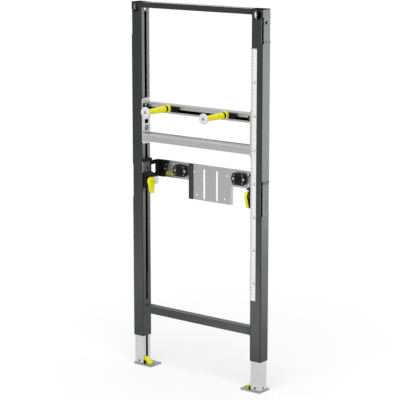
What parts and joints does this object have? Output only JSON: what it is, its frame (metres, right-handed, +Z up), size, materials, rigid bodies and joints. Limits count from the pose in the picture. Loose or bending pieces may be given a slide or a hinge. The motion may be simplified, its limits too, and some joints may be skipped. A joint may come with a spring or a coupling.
{
  "type": "wash basin installation frame",
  "caption": "Free-standing steel frame that carries a wall-hung wash basin, with a stud rail, a fitting rail with drain panel and extending feet.",
  "frame": {"origin": "on the floor, under the middle of the part's bounding box", "axes": "+Z up, the front with the studs faces -Y, +X to the right seen from the front"},
  "size_m": [0.5, 0.184, 1.152],
  "materials": {
    "painted_steel": "satin powder coat",
    "galvanised_steel": "galvanised",
    "zinc_steel": "bright zinc",
    "dull_zinc": "passivated zinc",
    "yellow_plastic": "moulded",
    "black_plastic": "moulded",
    "black_rubber": "matt",
    "white_plastic": "moulded",
    "tape_white": "printed film"
  },
  "bodies": {
    "frame": {"post_left": "painted_steel", "post_right": "painted_steel", "post_plug_left": "black_plastic", "post_plug_right": "black_plastic", "top_crossbar": "painted_steel", "bottom_crossbar": "painted_steel", "scale_tape": "tape_white"},
    "foot_left": {"foot_tube_left": "zinc_steel", "foot_plate_left": "dull_zinc", "foot_clip_left": "yellow_plastic"},
    "foot_right": {"foot_tube_right": "zinc_steel", "foot_plate_right": "dull_zinc", "foot_clip_right": "yellow_plastic"},
    "basin_carrier": {"basin_rail": "galvanised_steel", "front_bar": "galvanised_steel", "basin_bracket_left": "zinc_steel", "basin_bracket_right": "zinc_steel", "basin_clamp_left": "dull_zinc", "basin_clamp_right": "dull_zinc", "stud_rod_left": "zinc_steel", "stud_rod_right": "zinc_steel", "stud_slider_left": "black_plastic", "stud_slider_right": "black_plastic", "stud_ring_left": "yellow_plastic", "stud_ring_right": "yellow_plastic", "stud_sleeve_left": "yellow_plastic", "stud_sleeve_right": "yellow_plastic", "stud_cap_left": "white_plastic", "stud_cap_right": "white_plastic"},
    "fitting_carrier": {"fitting_traverse": "galvanised_steel", "drain_edge_strip": "black_plastic", "end_holder_left": "black_plastic", "end_holder_right": "black_plastic", "side_plate_left": "dull_zinc", "side_plate_right": "dull_zinc", "holder_tab_left": "zinc_steel", "holder_tab_right": "zinc_steel", "fitting_pad_left": "black_rubber", "fitting_pad_right": "black_rubber", "lever_base_left": "black_plastic", "lever_base_right": "black_plastic", "lever_pin_left": "dull_zinc", "lever_pin_right": "dull_zinc"},
    "lever_left": {"clamp_lever_left": "yellow_plastic"},
    "lever_right": {"clamp_lever_right": "yellow_plastic"}
  },
  "joints": [
    {"name": "foot_left_slide", "type": "slide", "parent": "frame", "child": "foot_left", "axis": [0, 0, -1], "range_m": [-0.065, 0.1]},
    {"name": "foot_right_slide", "type": "slide", "parent": "frame", "child": "foot_right", "axis": [0, 0, -1], "range_m": [-0.065, 0.1]},
    {"name": "basin_rail_slide", "type": "slide", "parent": "frame", "child": "basin_carrier", "axis": [0, 0, 1], "range_m": [-0.015, 0.2]},
    {"name": "fitting_rail_slide", "type": "slide", "parent": "frame", "child": "fitting_carrier", "axis": [0, 0, -1], "range_m": [-0.015, 0.25]},
    {"name": "lever_left_turn", "type": "hinge", "parent": "fitting_carrier", "child": "lever_left", "pos_m": [-0.1885, 0.028, 0.597], "axis": [-1, 0, 0], "range_deg": [0, 90]},
    {"name": "lever_right_turn", "type": "hinge", "parent": "fitting_carrier", "child": "lever_right", "pos_m": [0.1885, 0.028, 0.597], "axis": [-1, 0, 0], "range_deg": [0, 90]}
  ]
}
